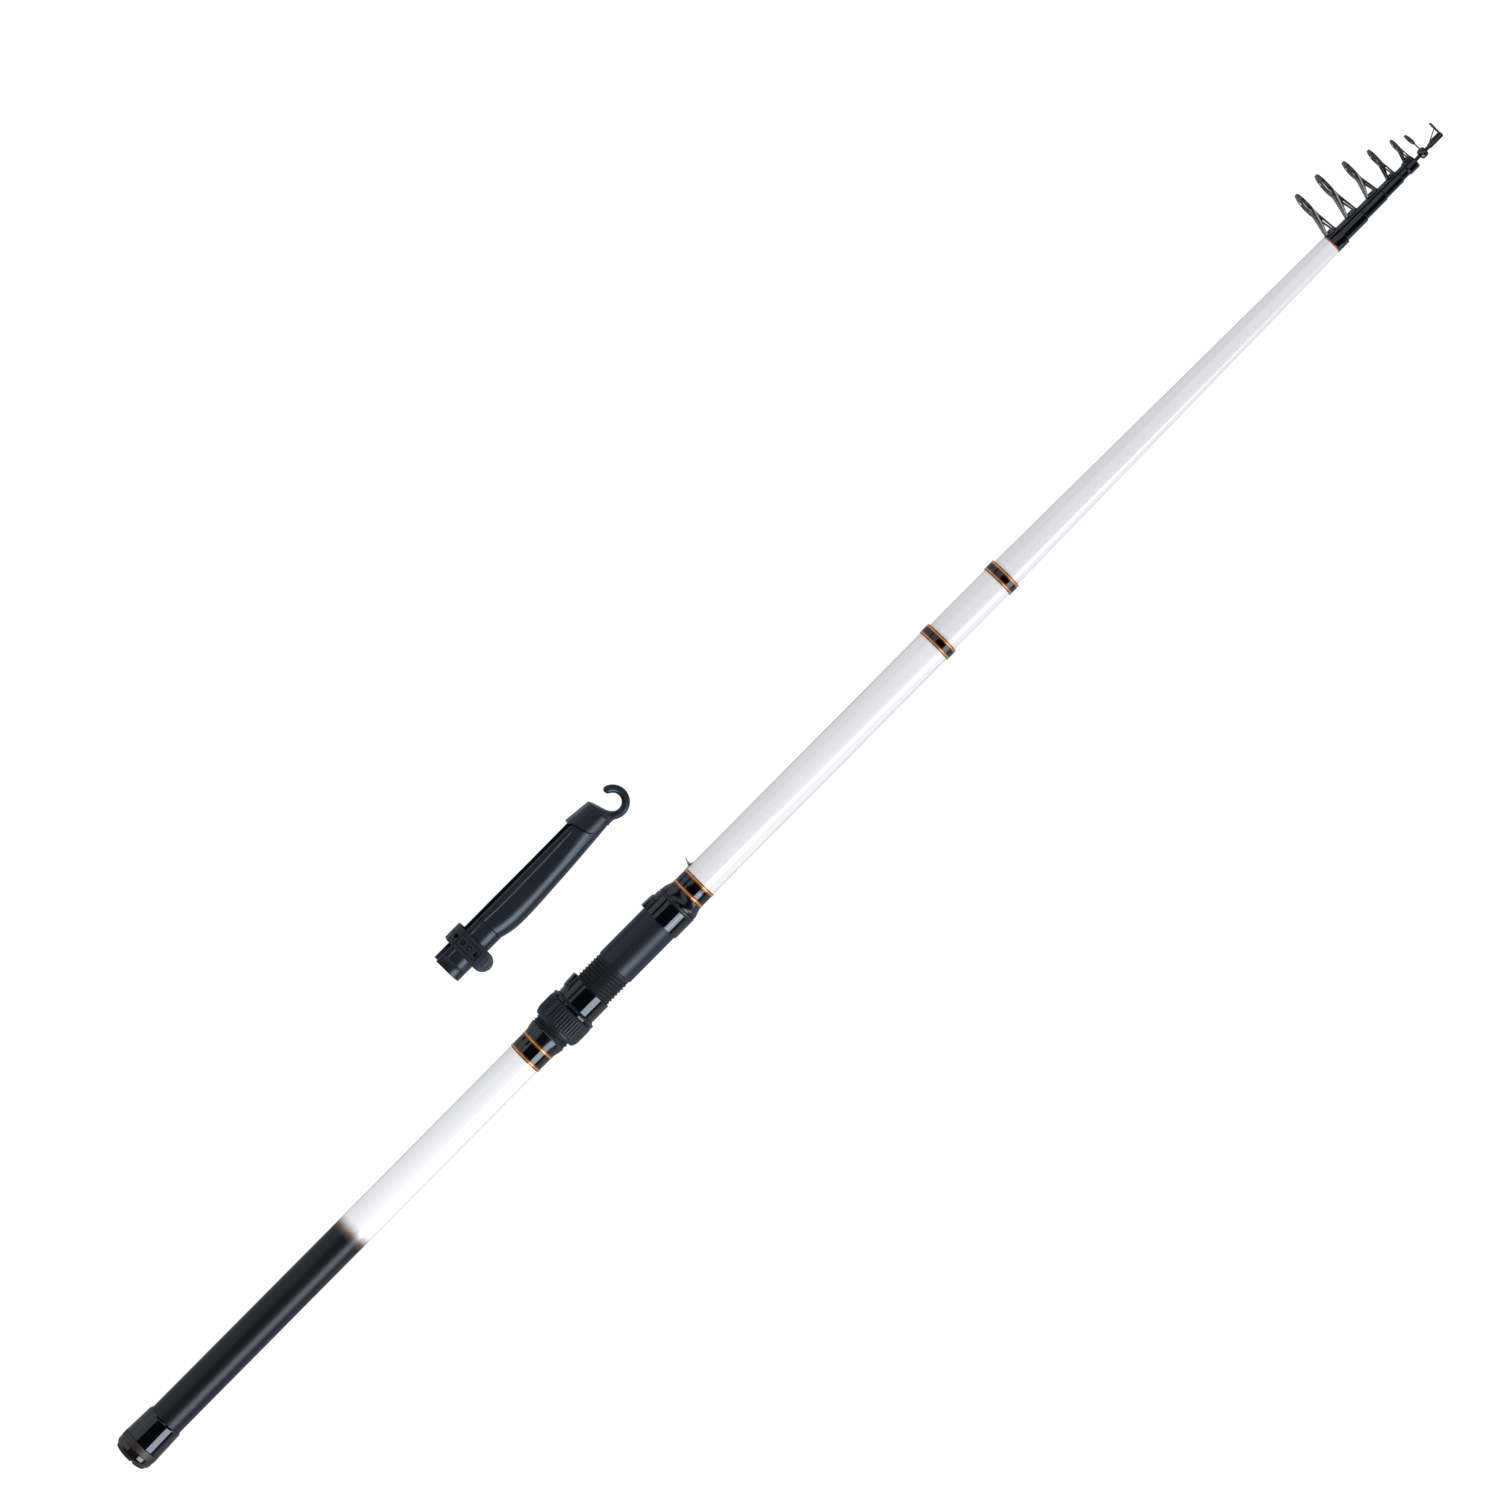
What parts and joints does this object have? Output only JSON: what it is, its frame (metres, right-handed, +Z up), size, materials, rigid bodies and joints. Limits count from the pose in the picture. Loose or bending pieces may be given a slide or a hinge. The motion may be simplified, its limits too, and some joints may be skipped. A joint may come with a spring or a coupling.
{
  "type": "fishing rod",
  "caption": "Telescopic surf fishing rod pushed together, with a screw-locking reel seat, floating line guides, a screw butt cap and a strapped tip cover lying beside it.",
  "frame": {"origin": "middle of the bounding box, on the surface that the rod and its cover lie on", "axes": "+X along the rod from the butt to the tip, +Z up, +Y towards the side of the guides and the cover"},
  "size_m": [1.4448, 0.1312, 0.0416],
  "materials": {
    "gloss_white": "clear lacquer over a white carbon-fibre blank, satin black towards the butt",
    "gloss_black": "clear lacquer over black",
    "matte_slate": "matte moulded",
    "warm_gloss": "anodised look, warm dark grey",
    "rubber": "matte",
    "gold": "gold anodised",
    "copper": "lacquered metallic thread",
    "gunmetal": "dark polished",
    "ceramic": "polished ceramic",
    "steel": "polished wire"
  },
  "bodies": {
    "rod": {"section_1_tube": "gloss_white", "butt_ferrule": "gloss_black", "rear_trim_a": "gold", "rear_wrap": "gloss_black", "rear_trim_b": "gold", "rear_cone": "gloss_black", "seat_barrel": "matte_slate", "fixed_hood": "gloss_black", "seat_ring": "matte_slate", "front_cone": "gloss_black", "front_trim_a": "gold", "front_wrap": "gloss_black", "front_trim_b": "gold", "keeper_foot": "steel", "mouth_band_1": "gloss_black", "band_1_trim_a": "gold", "band_1_trim_b": "gold"},
    "cap_slide": {"cap_seal": "rubber"},
    "cap_turn": {"butt_cap": "warm_gloss", "end_pad": "rubber", "cap_cushion": "rubber"},
    "hood_slide": {"moving_hood": "gloss_black"},
    "nut_turn": {"lock_nut": "matte_slate", "nut_ring": "gloss_black"},
    "section_2": {"section_2_tube": "gloss_white", "mouth_band_2": "gloss_black", "band_2_trim_a": "gold", "band_2_trim_b": "gold"},
    "section_3": {"section_3_tube": "gloss_white", "tip_wrap": "gloss_black", "tip_wrap_trim": "copper", "guide_1_frame": "gunmetal", "guide_1_ring": "ceramic"},
    "guide_2": {"guide_2_sleeve": "gloss_black", "guide_2_frame": "gunmetal", "guide_2_ring": "ceramic"},
    "guide_3": {"guide_3_sleeve": "gloss_black", "guide_3_frame": "gunmetal", "guide_3_ring": "ceramic"},
    "guide_4": {"guide_4_sleeve": "gloss_black", "guide_4_frame": "gunmetal", "guide_4_ring": "ceramic"},
    "guide_5": {"guide_5_sleeve": "gloss_black", "guide_5_frame": "gunmetal", "guide_5_ring": "ceramic"},
    "guide_6": {"guide_6_frame": "gunmetal", "guide_6_ring": "ceramic"},
    "section_4": {"section_4_blank": "gloss_black", "section_4_plug": "rubber", "tip_tube": "gunmetal", "tip_frame": "gunmetal", "tip_ring": "ceramic"},
    "keeper_turn": {"keeper_loop": "steel"},
    "cover": {"cover_collar": "matte_slate", "cover_shell": "matte_slate", "cover_hood": "matte_slate", "strap_stud": "matte_slate", "strap_band": "rubber"},
    "tab_turn": {"strap_tab": "rubber"}
  },
  "joints": [
    {"name": "section_2_draw", "type": "slide", "parent": "rod", "child": "section_2", "axis": [1, 0, 0], "range_m": [0, 0.7375]},
    {"name": "section_3_draw", "type": "slide", "parent": "section_2", "child": "section_3", "axis": [1, 0, 0], "range_m": [0, 0.8075]},
    {"name": "section_4_draw", "type": "slide", "parent": "section_3", "child": "section_4", "axis": [1, 0, 0], "range_m": [0, 1.1895]},
    {"name": "guide_2_draw", "type": "slide", "parent": "section_3", "child": "guide_2", "axis": [1, 0, 0], "range_m": [0, 0.2998]},
    {"name": "guide_3_draw", "type": "slide", "parent": "section_3", "child": "guide_3", "axis": [1, 0, 0], "range_m": [0, 0.5375]},
    {"name": "guide_4_draw", "type": "slide", "parent": "section_3", "child": "guide_4", "axis": [1, 0, 0], "range_m": [0, 0.7352]},
    {"name": "guide_5_draw", "type": "slide", "parent": "section_3", "child": "guide_5", "axis": [1, 0, 0], "range_m": [0, 0.9116]},
    {"name": "guide_6_draw", "type": "slide", "parent": "section_3", "child": "guide_6", "axis": [1, 0, 0], "range_m": [0, 1.0591]},
    {"name": "hood_slide", "type": "slide", "parent": "rod", "child": "hood_slide", "axis": [1, 0, 0], "range_m": [-0.0058, 0.0441]},
    {"name": "nut_turn", "type": "hinge", "parent": "hood_slide", "child": "nut_turn", "pos_m": [-0.245, -0.04479, 0.02082], "axis": [1, 0, 0], "range_deg": [-661, 5110]},
    {"name": "cap_slide", "type": "slide", "parent": "rod", "child": "cap_slide", "axis": [-1, 0, 0], "range_m": [0, 0.0121]},
    {"name": "cap_turn", "type": "hinge", "parent": "cap_slide", "child": "cap_turn", "pos_m": [-0.7193, -0.04479, 0.02082], "axis": [-1, 0, 0], "range_deg": [0, 2880]},
    {"name": "keeper_turn", "type": "hinge", "parent": "rod", "child": "keeper_turn", "pos_m": [-0.0905, -0.02867, 0.02082], "axis": [0, 0, 1], "range_deg": [-60, 95]},
    {"name": "cover_lift", "type": "slide", "parent": "rod", "child": "cover", "axis": [0, 0, 1], "range_m": [0, 0.12]},
    {"name": "tab_turn", "type": "hinge", "parent": "cover", "child": "tab_turn", "pos_m": [-0.2566, 0.05552, 0.02649], "axis": [1, 0, 0], "range_deg": [-100, 0]}
  ],
  "couplings": [
    {"joint": "guide_2_draw", "follows": "section_4_draw", "ratio": 0.25195},
    {"joint": "guide_3_draw", "follows": "section_4_draw", "ratio": 0.45179},
    {"joint": "guide_4_draw", "follows": "section_4_draw", "ratio": 0.61799},
    {"joint": "guide_5_draw", "follows": "section_4_draw", "ratio": 0.76629},
    {"joint": "guide_6_draw", "follows": "section_4_draw", "ratio": 0.89029},
    {"joint": "hood_slide", "follows": "nut_turn", "m_per_rad": 0.00049338},
    {"joint": "cap_slide", "follows": "cap_turn", "m_per_rad": 0.00023873}
  ]
}
